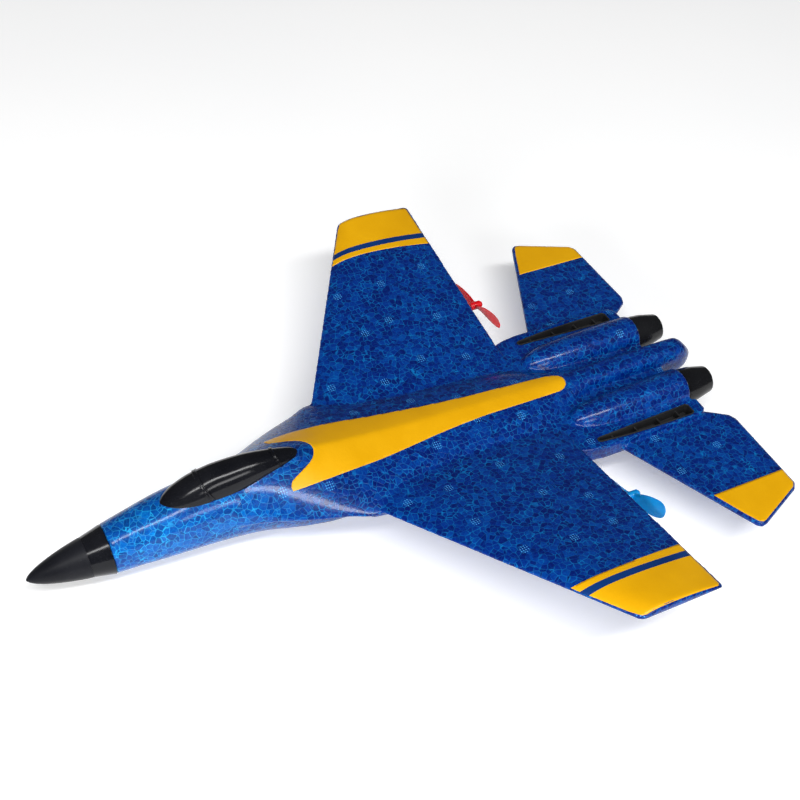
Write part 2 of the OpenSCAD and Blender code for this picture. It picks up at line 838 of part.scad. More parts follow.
color("Crimson") propeller(-1);  // starboard_propeller
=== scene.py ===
import math

import bmesh
import bpy
import numpy as np
from mathutils import Matrix, Vector
from mathutils.bvhtree import BVHTree


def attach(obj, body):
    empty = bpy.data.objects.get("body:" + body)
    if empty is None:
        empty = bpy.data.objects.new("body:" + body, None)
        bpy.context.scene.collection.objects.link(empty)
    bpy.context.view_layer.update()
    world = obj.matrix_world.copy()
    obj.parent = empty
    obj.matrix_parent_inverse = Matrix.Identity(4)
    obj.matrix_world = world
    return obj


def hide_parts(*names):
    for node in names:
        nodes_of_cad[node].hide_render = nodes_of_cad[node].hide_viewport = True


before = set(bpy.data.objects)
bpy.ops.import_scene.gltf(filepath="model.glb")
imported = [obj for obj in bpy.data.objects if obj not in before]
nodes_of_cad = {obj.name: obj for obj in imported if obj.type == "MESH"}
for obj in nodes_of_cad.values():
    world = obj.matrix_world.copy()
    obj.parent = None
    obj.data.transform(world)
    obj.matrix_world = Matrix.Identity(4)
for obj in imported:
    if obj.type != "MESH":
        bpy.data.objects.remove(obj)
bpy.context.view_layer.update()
scene = bpy.context.scene

# Tables and mesh functions work in millimetres; add_object turns them into metres.
MM = 0.001
SPAN = 145.0
NOSE_JOINT = (140.0, 0.0, 17.8)
NOSE_TILT = math.radians(4.8)
NACELLE_Y, NACELLE_Z = 22.0, 25.5
PROP_X, PROP_Y, PROP_Z = -90.0, 74.0, 26.0
SIDES = (("port", 1), ("starboard", -1))
FULL_TURN = 2 * math.pi

# ------------------------------------------------------------------ camera
cam_data = bpy.data.cameras.new("camera")
cam_data.lens = 60.5
cam_data.sensor_width = 36.0
cam_data.clip_start = 0.01
camera = bpy.data.objects.new("camera", cam_data)
scene.collection.objects.link(camera)
side = Vector((-0.8817, 0.4645, 0.0821))
up = Vector((-0.2732, -0.6448, 0.7139))
back = side.cross(up).normalized()
camera.matrix_world = Matrix((
    (side.x, up.x, back.x, 0.2366),
    (side.y, up.y, back.y, 0.3777),
    (side.z, up.z, back.z, 0.4880),
    (0, 0, 0, 1),
))
scene.camera = camera
scene.view_settings.view_transform = "Standard"


# ------------------------------------------------------------------ mesh helpers
def add_object(name, verts, faces, smooth=True):
    me = bpy.data.meshes.new(name)
    me.from_pydata([tuple(float(c) * MM for c in v) for v in verts], [], [list(map(int, f)) for f in faces])
    me.validate()
    me.update()
    ob = bpy.data.objects.new(name, me)
    scene.collection.objects.link(ob)
    if smooth:
        me.shade_smooth()
    return ob


def recalc(ob):
    """Turn all faces outward."""
    bm = bmesh.new()
    bm.from_mesh(ob.data)
    bmesh.ops.recalc_face_normals(bm, faces=bm.faces)
    bm.to_mesh(ob.data)
    bm.free()


def sharpen(ob, degrees=35):
    """Smooth shading that stops at edges bent by more than the angle."""
    bm = bmesh.new()
    bm.from_mesh(ob.data)
    limit = math.radians(degrees)
    for f in bm.faces:
        f.smooth = True
    for e in bm.edges:
        e.smooth = not (len(e.link_faces) == 2 and e.calc_face_angle(0) > limit)
    bm.to_mesh(ob.data)
    bm.free()


def apply_modifiers(ob):
    deps = bpy.context.evaluated_depsgraph_get()
    made = bpy.data.meshes.new_from_object(ob.evaluated_get(deps))
    ob.modifiers.clear()
    old = ob.data
    ob.data = made
    bpy.data.meshes.remove(old)


def cut(ob, tool):
    """Take the tool's volume out of the object, and the tool away."""
    recalc(tool)
    m = ob.modifiers.new("cut", "BOOLEAN")
    m.object = tool
    m.operation = "DIFFERENCE"
    m.solver = "MANIFOLD"
    apply_modifiers(ob)
    bpy.data.objects.remove(tool)


def piece(ob, body, slot, mat, *stands_for):
    """Finish a visible piece: its material, its body and the CAD nodes it stands for; the slot is not used.
    """
    ob.data.materials.clear()
    ob.data.materials.append(mat)
    if stands_for:
        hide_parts(*stands_for)
    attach(ob, body)
    return ob


def slopes(x, y):
    """Slopes of a curve through the points that never overshoots them."""
    h, d = np.diff(x), np.diff(y) / np.diff(x)
    m = np.zeros(len(x))
    for i in range(1, len(x) - 1):
        if d[i - 1] * d[i] > 0:
            w1, w2 = 2 * h[i] + h[i - 1], h[i] + 2 * h[i - 1]
            m[i] = (w1 + w2) / (w1 / d[i - 1] + w2 / d[i])
    m[0], m[-1] = d[0], d[-1]
    return m


def flow(table, step):
    """The stations of a loft, joined by smooth curves and sampled every step along x."""
    t = np.array(table, float)
    s = -t[:, 0]
    at = np.unique(np.concatenate([np.arange(s[0], s[-1], step), [s[-1]]]))
    out = np.zeros((len(at), t.shape[1]))
    out[:, 0] = -at
    for c in range(1, t.shape[1]):
        m = slopes(s, t[:, c])
        for k, v in enumerate(at):
            i = min(np.searchsorted(s, v, side="right") - 1, len(s) - 2)
            h = s[i + 1] - s[i]
            u = (v - s[i]) / h
            out[k, c] = (
                (2 * u**3 - 3 * u**2 + 1) * t[i, c] + (u**3 - 2 * u**2 + u) * h * m[i]
                + (-2 * u**3 + 3 * u**2) * t[i + 1, c] + (u**3 - u**2) * h * m[i + 1]
            )
    return out


def section_point(s, a, g=0.0):
    """A point at angle a on the section of station s, grown by g; a station is x, half width, bottom,
    widest height, top, upper and lower roundness."""
    c, q = math.cos(a), math.sin(a)
    n = s[5] if q >= 0 else s[6]
    h = max((s[4] - s[3] if q >= 0 else s[3] - s[2]) + g, 0.1)
    return (
        s[0],
        max(s[1] + g, 0.1) * math.copysign(abs(c) ** (2 / n), c),
        s[3] + h * math.copysign(abs(q) ** (2 / n), q),
    )


def tube(rings):
    """A closed skin over rings that all have the same number of points."""
    n, m = len(rings[0]), len(rings)
    verts = [p for r in rings for p in r]
    faces = [
        (j * n + i, (j + 1) * n + i, (j + 1) * n + (i + 1) % n, j * n + (i + 1) % n)
        for j in range(m - 1) for i in range(n)
    ]
    faces.append(tuple(range(n)))
    faces.append(tuple((m - 1) * n + i for i in range(n - 1, -1, -1)))
    return verts, faces


def loft(table, step=3.0, n=96, g=0.0):
    rings = [[section_point(s, FULL_TURN * (i + 0.5) / n, g) for i in range(n)] for s in flow(table, step)]
    return tube(rings)


def lathe(profile, n=96):
    """A profile of (distance along X, radius) turned about X."""
    turns = [FULL_TURN * i / n for i in range(n)]
    return tube([[(d, r * math.cos(a), r * math.sin(a)) for a in turns] for d, r in profile])


def rounded(profile, radius, steps=5):
    """The profile with its marked corners (third value 1) turned into arcs."""
    out = []
    for i, p in enumerate(profile):
        if len(p) < 3 or not p[2]:
            out.append((p[0], p[1]))
            continue
        a, b, c = (Vector(profile[i - 1][:2]), Vector(p[:2]), Vector(profile[i + 1][:2]))
        r = min(radius, (a - b).length * 0.45, (c - b).length * 0.45)
        u, w = b + (a - b).normalized() * r, b + (c - b).normalized() * r
        for k in range(steps + 1):
            t = k / steps
            q = u * (1 - t) ** 2 + b * 2 * t * (1 - t) + w * t**2
            out.append((q.x, q.y))
    return out


def box_mesh(x0, x1, y0, y1, z0, z1):
    v = [(x, y, z) for x in (x0, x1) for y in (y0, y1) for z in (z0, z1)]
    return v, [(0, 1, 3, 2), (4, 6, 7, 5), (0, 4, 5, 1), (2, 3, 7, 6), (0, 2, 6, 4), (1, 5, 7, 3)]


def prism(outline, z0, z1):
    n = len(outline)
    v = [(x, y, z0) for x, y in outline] + [(x, y, z1) for x, y in outline]
    f = [tuple(range(n))[::-1], tuple(range(n, 2 * n))]
    f += [(i, (i + 1) % n, n + (i + 1) % n, n + i) for i in range(n)]
    return v, f


def shifted(mesh, dx, dy, dz):
    verts, faces = mesh
    return [(x + dx, y + dy, z + dz) for x, y, z in verts], faces


def flip_y(mesh):
    v, f = mesh
    return [(x, -y, z) for x, y, z in v], [tuple(reversed(q)) for q in f]


def merged(meshes):
    verts, faces = [], []
    for v, f in meshes:
        k = len(verts)
        verts += list(v)
        faces += [tuple(i + k for i in q) for q in f]
    return verts, faces


def sweep(path, r, n=12):
    """A round rod of radius r along the path."""
    p = [Vector(q) for q in path]
    ref = Vector((0, -0.3, 1))
    rings = []
    for i, q in enumerate(p):
        d = Vector((0, 0, 0))
        if i:
            d += (p[i] - p[i - 1]).normalized()
        if i < len(p) - 1:
            d += (p[i + 1] - p[i]).normalized()
        d.normalize()
        e = ref.cross(d).normalized()
        f = d.cross(e)
        turns = [FULL_TURN * k / n for k in range(n)]
        rings.append([tuple(q + r * (math.cos(a) * e + math.sin(a) * f)) for a in turns])
    return tube(rings)


# ------------------------------------------------------------------ node helpers
def shader(name):
    m = bpy.data.materials.new(name)
    m.use_nodes = True
    nt = m.node_tree
    return m, nt, nt.nodes["Principled BSDF"]


def nd(nt, kind, ins=None, **props):
    """A new node; ins gives values or links for its inputs."""
    n = nt.nodes.new("ShaderNode" + kind)
    for k, v in props.items():
        setattr(n, k, v)
    for k, v in (ins or {}).items():
        if isinstance(v, bpy.types.NodeSocket):
            nt.links.new(v, n.inputs[k])
        else:
            n.inputs[k].default_value = v
    return n


def ramp(nt, fac, stops, interpolation="LINEAR"):
    n = nd(nt, "ValToRGB", {"Fac": fac})
    n.color_ramp.interpolation = interpolation
    e = n.color_ramp.elements
    while len(e) < len(stops):
        e.new(0.5)
    for el, (pos, col) in zip(e, stops):
        el.position = pos
        el.color = (*col, 1) if len(col) == 3 else col
    return n.outputs["Color"]


def calc(nt, op, a, b=0.0, c=0.0, clamp=False):
    n = nd(nt, "Math", {0: a, 1: b, 2: c}, operation=op)
    n.use_clamp = clamp
    return n.outputs[0]


def vec(nt, op, a, b=(0, 0, 0)):
    n = nd(nt, "VectorMath", {0: a}, operation=op)
    if op == "SCALE":
        if isinstance(b, bpy.types.NodeSocket):
            nt.links.new(b, n.inputs["Scale"])
        else:
            n.inputs["Scale"].default_value = b
    elif isinstance(b, bpy.types.NodeSocket):
        nt.links.new(b, n.inputs[1])
    else:
        n.inputs[1].default_value = b
    return n.outputs["Value"] if op in ("LENGTH", "DISTANCE") else n.outputs[0]


def mix(nt, fac, a, b, blend="MIX"):
    n = nd(nt, "Mix", data_type="RGBA", blend_type=blend)
    for k, v in (("Factor", fac), ("A", a), ("B", b)):
        sock = [s for s in n.inputs if s.name == k and s.enabled][0]
        if isinstance(v, bpy.types.NodeSocket):
            nt.links.new(v, sock)
        else:
            sock.default_value = (*v, 1) if isinstance(v, tuple) and len(v) == 3 else v
    return [s for s in n.outputs if s.enabled][0]


def grey(v):
    return (v, v, v)


def noise(nt, at, scale, detail=3.0, **more):
    ins = {"Vector": at, "Scale": float(scale), "Detail": detail}
    ins.update({k.capitalize(): v for k, v in more.items()})
    return nd(nt, "TexNoise", ins).outputs["Fac"]


def cell_edges(nt, at, scale, randomness=1.0):
    ins = {"Vector": at, "Scale": scale, "Randomness": randomness}
    return nd(nt, "TexVoronoi", ins, feature="DISTANCE_TO_EDGE").outputs["Distance"]


def bump(nt, b, height, strength, distance):
    made = nd(nt, "Bump", {"Height": height, "Strength": strength, "Distance": distance})
    nt.links.new(made.outputs[0], b.inputs["Normal"])


def axis(nt, at, letter):
    return nd(nt, "SeparateXYZ", {"Vector": at}).outputs[letter]


def set_specular(mat, level):
    mat.node_tree.nodes["Principled BSDF"].inputs["Specular IOR Level"].default_value = level


def plastic(name, colour, rough=0.4, grain=900, depth=0.03, spread=0.12, coat=0.0):
    """A moulded plastic, rubber or paint: colour drift, a moulded grain and faint handling marks."""
    m, nt, b = shader(name)
    pos = nd(nt, "TexCoord").outputs["Object"]
    drift = noise(nt, pos, 45, 4.0)
    grit = noise(nt, pos, grain)
    light = tuple(min(1.0, c * (1 + spread) + 0.004) for c in colour)
    dark = tuple(c * (1 - spread) for c in colour)
    base = ramp(nt, drift, [(0.3, dark), (0.7, light)])
    specks = ramp(nt, noise(nt, pos, 2600, 1.0), [(0.66, grey(0)), (0.74, grey(1))])
    nt.links.new(mix(nt, calc(nt, "MULTIPLY", specks, 0.03), base, (0.5, 0.5, 0.52)), b.inputs["Base Color"])
    worn = ramp(nt, drift, [(0.25, grey(rough * 0.8)), (0.75, grey(min(rough * 1.2, 1)))])
    nt.links.new(worn, b.inputs["Roughness"])
    bump(nt, b, grit, 0.35, depth * MM)
    b.inputs["Coat Weight"].default_value = coat
    b.inputs["Coat Roughness"].default_value = 0.06
    return m


def metal(name, colour, rough=0.3, along=(30, 900, 900)):
    """A metal with fine drawn or wound lines; along is how often they repeat in each direction."""
    m, nt, b = shader(name)
    pos = nd(nt, "TexCoord").outputs["Object"]
    st = nd(nt, "Mapping", {"Vector": pos, "Scale": tuple(float(v) for v in along)}).outputs[0]
    lines = noise(nt, st, 2.5)
    darker = tuple(c * 0.82 for c in colour)
    nt.links.new(ramp(nt, lines, [(0.3, darker), (0.7, colour)]), b.inputs["Base Color"])
    brushed = ramp(nt, lines, [(0.3, grey(rough * 1.25)), (0.7, grey(rough * 0.8))])
    nt.links.new(brushed, b.inputs["Roughness"])
    bump(nt, b, lines, 0.2, 0.00002)
    b.inputs["Metallic"].default_value = 1.0
    return m


# ------------------------------------------------------------------ foam material
BEADS = 375.0
BEAD_SPREAD = 0.9
VENT_GRID = 0.027
VENT_RADIUS = 0.0023
VENT_PITCH = 0.00112


def steam_vents(nt, pos):
    """Groups of tiny steam marks from the mould, one group in each square of a loose grid."""
    xyz = nd(nt, "SeparateXYZ", {"Vector": pos})
    flat = nd(nt, "CombineXYZ", {"X": xyz.outputs["X"], "Y": xyz.outputs["Y"]}).outputs[0]
    cells = vec(nt, "SCALE", flat, 1 / VENT_GRID)
    square = vec(nt, "FLOOR", cells)
    rnd = nd(nt, "TexWhiteNoise", {"Vector": square}, noise_dimensions="3D").outputs["Color"]
    shift = vec(nt, "MULTIPLY", vec(nt, "SUBTRACT", rnd, grey(0.5)), (0.5, 0.5, 0.0))
    local = vec(nt, "SUBTRACT", vec(nt, "SUBTRACT", cells, square), (0.5, 0.5, 0.0))
    local = vec(nt, "SUBTRACT", local, shift)
    near = calc(nt, "LESS_THAN", vec(nt, "LENGTH", local), VENT_RADIUS / VENT_GRID)
    fine = vec(nt, "SCALE", local, VENT_GRID / VENT_PITCH)
    spot = vec(nt, "SUBTRACT", vec(nt, "SUBTRACT", fine, vec(nt, "FLOOR", fine)), (0.5, 0.5, 0.0))
    spot = calc(nt, "LESS_THAN", vec(nt, "LENGTH", spot), 0.27)
    steep = calc(nt, "ABSOLUTE", axis(nt, nd(nt, "NewGeometry").outputs["Normal"], "Z"))
    return calc(nt, "MULTIPLY", calc(nt, "MULTIPLY", near, spot), calc(nt, "GREATER_THAN", steep, 0.6))


def foam_material():
    """Fused foam beads: each has its own tone and a pale rim here and there. Towards the nose the blue is
    lightened and the rims brightened as painted sheen.
    """
    m, nt, b = shader("bead_foam")
    pos = nd(nt, "TexCoord").outputs["Object"]
    wob = nd(nt, "TexNoise", {"Vector": pos, "Scale": 160.0, "Detail": 2.0}).outputs["Color"]
    wob = vec(nt, "SCALE", vec(nt, "SUBTRACT", wob, grey(0.5)), 0.0022)
    at = vec(nt, "ADD", pos, wob)
    cell = nd(nt, "TexVoronoi", {"Vector": at, "Scale": BEADS, "Randomness": BEAD_SPREAD})
    edge = cell_edges(nt, at, BEADS, BEAD_SPREAD)
    deep = cell_edges(nt, vec(nt, "ADD", at, (0.013, 0.007, 0.0021)), BEADS * 1.13)
    one = nd(nt, "SeparateColor", {"Color": cell.outputs["Color"]})
    broad = noise(nt, pos, 28)
    inner = noise(nt, at, 620, 4.0, roughness=0.65, distortion=1.2)
    tone = calc(nt, "ADD", calc(nt, "MULTIPLY", one.outputs[0], 0.52), calc(nt, "MULTIPLY", broad, 0.34))
    tone = calc(nt, "ADD", tone, calc(nt, "MULTIPLY", calc(nt, "SUBTRACT", inner, 0.5), 0.85))
    base = ramp(nt, tone, [
        (0.02, (0.0, 0.005, 0.085)), (0.30, (0.0, 0.010, 0.135)), (0.52, (0.0, 0.020, 0.19)),
        (0.75, (0.0, 0.047, 0.27)), (0.98, (0.0, 0.105, 0.38)),
    ])
    inside = ramp(nt, deep, [(0.0, grey(1)), (0.07, grey(0))])
    base = mix(nt, calc(nt, "MULTIPLY", inside, 0.14), base, (0.004, 0.14, 0.48))
    rim = ramp(nt, edge, [(0.0, grey(1)), (0.022, grey(0.7)), (0.065, grey(0))], "EASE")
    some = ramp(nt, noise(nt, pos, 210, 2.0), [(0.36, grey(0.10)), (0.66, grey(0.85))])
    base = mix(nt, calc(nt, "MULTIPLY", rim, some), base, (0.002, 0.19, 0.51))
    # painted sheen: the blue is lightened in patches towards the nose, where the lamps catch the foam
    nose_sheen = nd(nt, "MapRange", {"Value": axis(nt, pos, "X"), "From Min": 0.02, "From Max": 0.115}).outputs[0]
    nose_sheen = calc(nt, "MULTIPLY", nose_sheen, calc(nt, "ADD", calc(nt, "MULTIPLY", broad, 1.1), 0.2), clamp=True)
    pale = vec(nt, "ADD", vec(nt, "MULTIPLY", base, (1.0, 2.25, 1.6)), (0.001, 0.040, 0.064))
    base = mix(nt, calc(nt, "MULTIPLY", nose_sheen, 0.85), base, pale)
    # painted highlight: brighter bead rims towards the nose
    base = mix(nt, calc(nt, "MULTIPLY", calc(nt, "MULTIPLY", rim, nose_sheen), 0.2), base, (0.06, 0.34, 0.64))
    vents = steam_vents(nt, pos)
    base = mix(nt, calc(nt, "MULTIPLY", vents, 0.85), base, (0.06, 0.33, 0.75))
    nt.links.new(base, b.inputs["Base Color"])
    rough = calc(nt, "ADD", calc(nt, "MULTIPLY", some, 0.10), 0.24)
    nt.links.new(calc(nt, "ADD", rough, calc(nt, "MULTIPLY", rim, 0.12)), b.inputs["Roughness"])
    dome = ramp(nt, edge, [(0.0, grey(0)), (0.10, grey(0.7)), (0.4, grey(1))], "EASE")
    h = calc(nt, "ADD", dome, calc(nt, "MULTIPLY", one.outputs[1], 0.5))
    h = calc(nt, "SUBTRACT", h, calc(nt, "MULTIPLY", vents, 0.6))
    bump(nt, b, h, 0.42, 0.00022)
    b.inputs["Coat Weight"].default_value = 0.34
    b.inputs["Coat Roughness"].default_value = 0.12
    b.inputs["Specular IOR Level"].default_value = 0.12
    return m


def film_material(name, stripe):
    """Printed film with the beads showing faintly through it. A stripe is the least and the greatest
    distance from the centre plane, in metres, of a dark band across it."""
    m, nt, b = shader(name)
    pos = nd(nt, "TexCoord").outputs["Object"]
    drift = noise(nt, pos, 60, 4.0)
    base = ramp(nt, drift, [(0.25, (0.70, 0.345, 0.0)), (0.75, (0.78, 0.40, 0.001))])
    grain = ramp(nt, noise(nt, pos, 2400, 2.0), [(0.45, grey(0)), (0.7, grey(1))])
    base = mix(nt, calc(nt, "MULTIPLY", grain, 0.10), base, (0.58, 0.28, 0.0))
    if stripe:
        wave = calc(nt, "MULTIPLY", calc(nt, "SUBTRACT", drift, 0.5), 0.0002)
        y = calc(nt, "ADD", calc(nt, "ABSOLUTE", axis(nt, pos, "Y")), wave)
        past, before = calc(nt, "GREATER_THAN", y, stripe[0]), calc(nt, "LESS_THAN", y, stripe[1])
        band = calc(nt, "MULTIPLY", past, before)
        navy = ramp(nt, drift, [(0.3, (0.001, 0.022, 0.12)), (0.7, (0.002, 0.034, 0.17))])
        base = mix(nt, band, base, navy)
    nt.links.new(base, b.inputs["Base Color"])
    beads = ramp(nt, cell_edges(nt, pos, 292.0, BEAD_SPREAD), [(0.0, grey(0)), (0.3, grey(1))], "EASE")
    bump(nt, b, calc(nt, "ADD", beads, calc(nt, "MULTIPLY", drift, 2.5)), 0.12, 0.00012)
    nt.links.new(ramp(nt, drift, [(0.3, grey(0.30)), (0.7, grey(0.42))]), b.inputs["Roughness"])
    b.inputs["Coat Weight"].default_value = 0.2
    b.inputs["Coat Roughness"].default_value = 0.15
    b.inputs["Specular IOR Level"].default_value = 0.25
    return m


# ------------------------------------------------------------------ foam airframe
# Stations of the lofts: x, half width, bottom, widest height, top, upper and lower roundness
BODY = [
    (142.0, 11.4, 6.5, 17.6, 29.2, 2.0, 2.0), (130.0, 12.4, 7.3, 18.4, 33.0, 2.2, 2.0),
    (116.0, 14.0, 8.0, 19.5, 36.8, 2.3, 2.0), (100.0, 15.3, 8.3, 21.0, 40.4, 2.1, 2.0),
    (84.0, 16.1, 7.6, 22.0, 41.6, 2.0, 2.1), (70.0, 16.6, 5.6, 22.5, 41.8, 1.9, 2.3),
    (58.0, 17.4, 2.4, 22.5, 41.4, 1.8, 2.5), (46.0, 18.2, -0.4, 22.5, 40.4, 1.7, 2.7),
    (34.0, 18.8, -1.8, 22.5, 38.8, 1.6, 2.9), (10.0, 18.8, -2.2, 22.0, 36.0, 1.6, 3.0),
    (-20.0, 18.0, -2.0, 20.5, 33.6, 1.6, 3.0), (-48.0, 15.6, -1.0, 18.5, 31.0, 1.8, 2.6),
    (-66.0, 13.0, 3.6, 18.5, 30.0, 2.0, 2.4), (-88.0, 10.0, 9.6, 19.5, 29.0, 2.0, 2.2),
    (-108.0, 7.6, 14.4, 21.0, 28.0, 2.0, 2.0),
]
SPINE = [
    (92.0, 14.2, 19.5, 23.0, 39.2, 1.9, 2.0), (80.0, 17.9, 21.0, 25.0, 41.4, 1.7, 2.0),
    (70.0, 21.6, 22.2, 26.3, 42.9, 1.5, 2.0), (60.0, 26.2, 22.8, 27.2, 43.6, 1.32, 2.0),
    (50.0, 30.0, 23.2, 27.6, 43.6, 1.24, 2.0), (38.0, 33.8, 23.6, 28.0, 42.0, 1.22, 2.0),
    (26.0, 38.2, 23.6, 28.0, 40.4, 1.2, 2.0), (8.0, 38.0, 22.0, 26.5, 38.6, 1.2, 2.0),
    (-20.0, 34.0, 21.0, 25.5, 36.9, 1.3, 2.0), (-45.0, 30.0, 20.5, 25.0, 35.8, 1.4, 2.0),
    (-75.0, 24.0, 20.0, 25.0, 34.4, 1.5, 2.0), (-98.0, 12.0, 19.0, 25.0, 33.6, 1.8, 2.0),
    (-112.0, 7.0, 18.0, 26.0, 33.4, 2.4, 2.0),
]
STINGER = [
    (-92.0, 7.2, 17.0, 26.0, 33.0, 2.6, 2.4), (-130.0, 7.0, 16.5, 25.8, 34.0, 3.0, 2.6),
    (-168.0, 6.6, 16.5, 25.5, 34.6, 3.0, 2.6), (-171.0, 6.0, 16.6, 25.2, 33.4, 3.0, 2.6),
    (-174.5, 4.4, 17.2, 24.6, 30.0, 2.8, 2.4), (-177.0, 2.2, 18.6, 23.5, 27.0, 2.4, 2.2),
]
CANOPY = [
    (116.5, 0.6, 33.0, 34.4, 35.8, 2.0, 2.0), (113.0, 4.2, 32.0, 35.6, 38.8, 2.0, 2.0),
    (107.0, 7.2, 31.0, 36.4, 42.4, 2.0, 2.0), (98.0, 8.8, 31.0, 37.2, 46.2, 2.0, 2.0),
    (88.0, 9.0, 32.0, 38.0, 48.4, 2.0, 2.0), (76.0, 8.3, 33.0, 39.2, 48.84, 2.0, 2.0),
    (64.0, 6.4, 35.0, 40.8, 47.6, 2.0, 2.0), (54.0, 4.0, 38.0, 42.2, 45.6, 2.0, 2.0),
    (51.2, 2.9, 39.6, 42.5, 44.8, 2.0, 2.0), (49.5, 1.2, 41.0, 42.8, 43.9, 2.0, 2.0),
]


def leading_edge(y):
    return 47 + (-41.4 - 47) * y / SPAN


def trailing_edge(y):
    return -81 + (-84.2 + 81) * y / SPAN


def wing_mesh():
    """The port wing: an arched top over a nearly flat underside, with a rounded tip."""
    peak, tip_r = 0.35, 2.2
    t = 0.5 - 0.5 * np.cos(np.linspace(0, math.pi, 42))
    rise = (np.clip(peak - t, 0, 1) / peak) ** 2.9
    fall = (np.clip(t - peak, 0, 1) / (1 - peak)) ** 1.8
    top = np.where(t < peak, 1 - rise, 1 - fall)
    low = np.where(t < 0.04, 0.35 + 15 * t, 0.9 + 0.1 * (1 - (1 - 2 * t) ** 2))

    def rib(y, inset, c):
        x0, x1 = leading_edge(y) - inset, trailing_edge(y) + inset / 2
        z0 = 24 + 0.138 * y
        k = 1 - 0.04 * y / SPAN
        mid = z0 + 0.2
        over = [(a, z0 + 3.3 * k * b) for a, b in zip(t, top)]
        under = [(a, z0 - 2.3 * k * b - 0.05) for a, b in zip(t[::-1], low[::-1])]
        return [(x0 + (x1 - x0) * a, y, mid + (z - mid) * c) for a, z in over + under]

    ribs = [rib(y, 0, 1) for y in np.linspace(0, SPAN - tip_r, 24)]
    for a in np.linspace(0.25, 1.4, 6):
        y = SPAN - tip_r + tip_r * math.sin(a)
        ribs.append(rib(y, tip_r * (1 - math.cos(a)), 0.25 + 0.75 * math.cos(a)))
    return tube(ribs)


TAIL = [
    (-101, 36), (-106, 45), (-133, 104.4), (-136.4, 111.6), (-138.6, 113.3), (-141.5, 112.7),
    (-168, 101), (-170.6, 98), (-171.3, 51), (-169.5, 47), (-160, 40.5), (-150, 36),
]


def inset_outline(outline, d):
    """The outline moved inward by d; it runs anticlockwise."""
    out = []
    n = len(outline)
    for i in range(n):
        a, b, c = (Vector(outline[i - 1]), Vector(outline[i]), Vector(outline[(i + 1) % n]))
        u, w = (b - a).normalized(), (c - b).normalized()
        nu, nw = Vector((-u.y, u.x)), Vector((-w.y, w.x))
        h = (nu + nw).normalized()
        out.append(tuple(b + h * (d / max(h.dot(nu), 0.4))))
    return out


def twice_area(o):
    return sum(o[i - 1][0] * o[i][1] - o[i][0] * o[i - 1][1] for i in range(len(o)))


def slab(outline, z0, z1, r_flat, r_high):
    """A plate with rounded edges: r_flat is the rounding seen from above, r_high the height it takes."""
    o = outline if twice_area(outline) > 0 else outline[::-1]
    rings = []
    for a in np.linspace(-90, 90, 13):
        a = math.radians(a)
        z = (z1 - r_high + r_high * math.sin(a)) if a > 0 else (z0 + r_high + r_high * math.sin(a))
        rings.append([(x, y, z) for x, y in inset_outline(o, r_flat * (1 - math.cos(a)))])
    return tube(rings)


PAD = [
    (-78, 0), (-78, 40), (-88, 43), (-96, 44), (-108, 44), (-150, 43.6),
    (-155, 43.2), (-158, 40.5), (-158, 33.2), (-155, 32.2), (-155, 0),
]
NACELLE = [
    (-88.0, 0.3), (-88.4, 2.2), (-90.0, 4.4), (-93.5, 6.4), (-99.0, 7.9), (-107.0, 8.9), (-118.0, 9.6),
    (-132.0, 10.1), (-145.0, 10.3), (-155.0, 10.3),
]


# Trunk under each wing root: x, inner and outer side, bottom
TRUNK = [
    (26, 18, 31, 18), (24, 17, 32, 16.4), (10, 15, 33.4, 14.6),
    (-59, 14, 34, 13), (-80, 14, 33.6, 14.4), (-96, 14, 33, 17),
]
TRUNK_TOP = 24


def trunk_mesh():
    rings = []
    for x, y0, y1, z0 in TRUNK:
        s = (x, (y1 - y0) / 2, z0, TRUNK_TOP - 2, TRUNK_TOP, 2.4, 3.6)
        ring = [section_point(s, FULL_TURN * (k + 0.5) / 24) for k in range(24)]
        rings.append([(p[0], p[1] + (y0 + y1) / 2, p[2]) for p in ring])
    return tube(rings)


def slot_outline(g):
    """The fin slot seen from above, grown by g."""
    return [
        (-94.5 + g, 37.2 - g / 2), (-96.0 + g / 2, 36.3 - g), (-150.0, 34.2 - g), (-151.5 - g, 35.4 - g / 2),
        (-151.5 - g, 40.4 + g / 2), (-150.0, 41.6 + g), (-130.0, 41.6 + g), (-112.0, 41.0 + g),
        (-96.0 + g / 2, 39.6 + g), (-94.5 + g, 38.8 + g / 2),
    ]


LEADS = [
    (-18.5, 3.5, 8.5), (-23, 5, 9.5), (-30, 18, 17), (-38, 37, 27.6),
    (-58, 70.5, 31.9), (-60.5, 73.2, 30.2), (-62.4, 74, 27.6),
]

# All the mouldings in one mesh, cut square at the nose joint and then fused by the remesh
soup = [loft(BODY), loft(SPINE), loft(STINGER, 1.5), loft(CANOPY, 2.0, 64, -0.9)]
nacelle = shifted(lathe(NACELLE, 72), 0, NACELLE_Y, NACELLE_Z)
tailplane = slab(TAIL, 21.2, 24.6, 2.4, 1.5)
fin_pad = slab(PAD, 19.0, 27.6, 1.3, 1.3)
for half in (wing_mesh(), tailplane, fin_pad, nacelle, trunk_mesh()):
    soup += [half, flip_y(half)]
foam = add_object("foam_body", *merged(soup))
bm = bmesh.new()
bm.from_mesh(foam.data)
bmesh.ops.recalc_face_normals(bm, faces=bm.faces)
joint = bmesh.ops.bisect_plane(
    bm, geom=bm.verts[:] + bm.edges[:] + bm.faces[:], plane_co=Vector(NOSE_JOINT) * MM,
    plane_no=Vector((math.cos(NOSE_TILT), 0, -math.sin(NOSE_TILT))), clear_outer=True,
)
bmesh.ops.contextual_create(bm, geom=[g for g in joint["geom_cut"] if isinstance(g, bmesh.types.BMEdge)])
bm.to_mesh(foam.data)
bm.free()
rm = foam.modifiers.new("voxels", "REMESH")
rm.mode = "VOXEL"
rm.voxel_size = 0.00065
rm.use_smooth_shade = True
sm = foam.modifiers.new("soften", "SMOOTH")
sm.factor = 0.5
sm.iterations = 4
apply_modifiers(foam)
recalc(foam)
